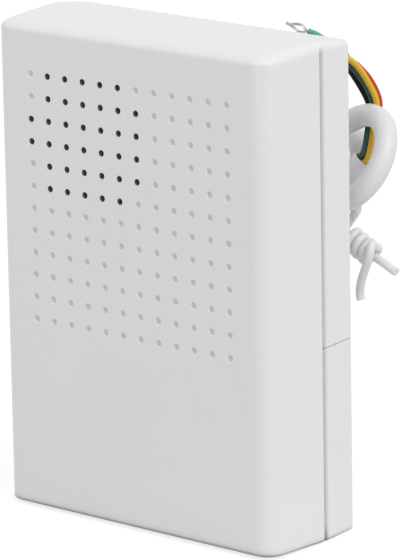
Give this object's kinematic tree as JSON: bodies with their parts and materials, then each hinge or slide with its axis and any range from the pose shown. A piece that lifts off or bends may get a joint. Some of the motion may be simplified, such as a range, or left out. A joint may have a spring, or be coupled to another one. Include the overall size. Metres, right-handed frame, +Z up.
{
  "type": "doorbell chime box",
  "caption": "Wall-hung wired doorbell chime: upright plastic case with a dotted speaker grille, sliding battery door and a tied hank of four-core cable.",
  "frame": {"origin": "middle of the case's underside, halfway between its front face and its back", "axes": "+X to the right seen from the front, -Y out of the front face, +Z up"},
  "size_m": [0.0906, 0.0668, 0.1214],
  "materials": {
    "case_plastic": "fine satin moulded white",
    "steel": "zinc plated",
    "contact_metal": "bright nickel plated spring steel",
    "ferrite": "dull fired ferrite",
    "cone_paper": "pressed black paper",
    "coil_copper": "enamelled copper wire",
    "foam": "closed cell foam",
    "board_laminate": "paper laminate",
    "black_plastic": "cast resin",
    "blue_sleeve": "shrunk plastic sleeve",
    "orange_ceramic": "dipped coating",
    "tan_lacquer": "lacquered",
    "red_insulation": "smooth soft plastic",
    "black_insulation": "smooth soft plastic",
    "green_insulation": "smooth soft plastic",
    "yellow_insulation": "smooth soft plastic",
    "cable_jacket": "smooth soft plastic",
    "tie_coating": "smooth coated wire",
    "tinned_strands": "twisted tinned copper",
    "soft_rubber": "soft white",
    "nylon": "natural nylon"
  },
  "bodies": {
    "case": {"front_cover": "case_plastic", "rear_base": "case_plastic", "case_screws": "steel", "speaker_gasket": "foam", "speaker_basket": "steel", "speaker_top_plate": "steel", "speaker_magnet": "ferrite", "speaker_back_plate": "steel", "speaker_terminals": "board_laminate", "speaker_leads": "red_insulation", "circuit_board": "board_laminate", "board_screws": "steel", "melody_chip": "black_plastic", "capacitors": "blue_sleeve", "ceramic_capacitor": "orange_ceramic", "resistors": "tan_lacquer", "transistors": "black_plastic", "link_contact": "contact_metal", "plus_contact": "contact_metal", "minus_contact": "contact_metal", "link_spring": "contact_metal", "minus_spring": "contact_metal", "plus_lead": "red_insulation", "minus_lead": "black_insulation", "cable_grommet": "soft_rubber", "cable_inner_end": "cable_jacket", "cable_stop_tie": "nylon", "inner_leads": "yellow_insulation", "cable_lead": "cable_jacket", "cable_hank": "cable_jacket", "cable_tail": "cable_jacket", "core_black": "black_insulation", "core_green": "green_insulation", "core_yellow": "yellow_insulation", "core_red": "red_insulation", "core_tips": "tinned_strands", "twist_tie": "tie_coating"},
    "battery_door": {"battery_door": "case_plastic"},
    "speaker_cone": {"speaker_cone": "cone_paper", "voice_coil": "coil_copper", "dust_cap": "cone_paper"}
  },
  "joints": [
    {"name": "battery_door_slide", "type": "slide", "parent": "case", "child": "battery_door", "axis": [0, 0, -1], "range_m": [0, 0.05]},
    {"name": "speaker_cone_travel", "type": "slide", "parent": "case", "child": "speaker_cone", "axis": [0, 1, 0], "range_m": [-0.0005, 0.0005], "stiffness_N_per_m": 500}
  ]
}
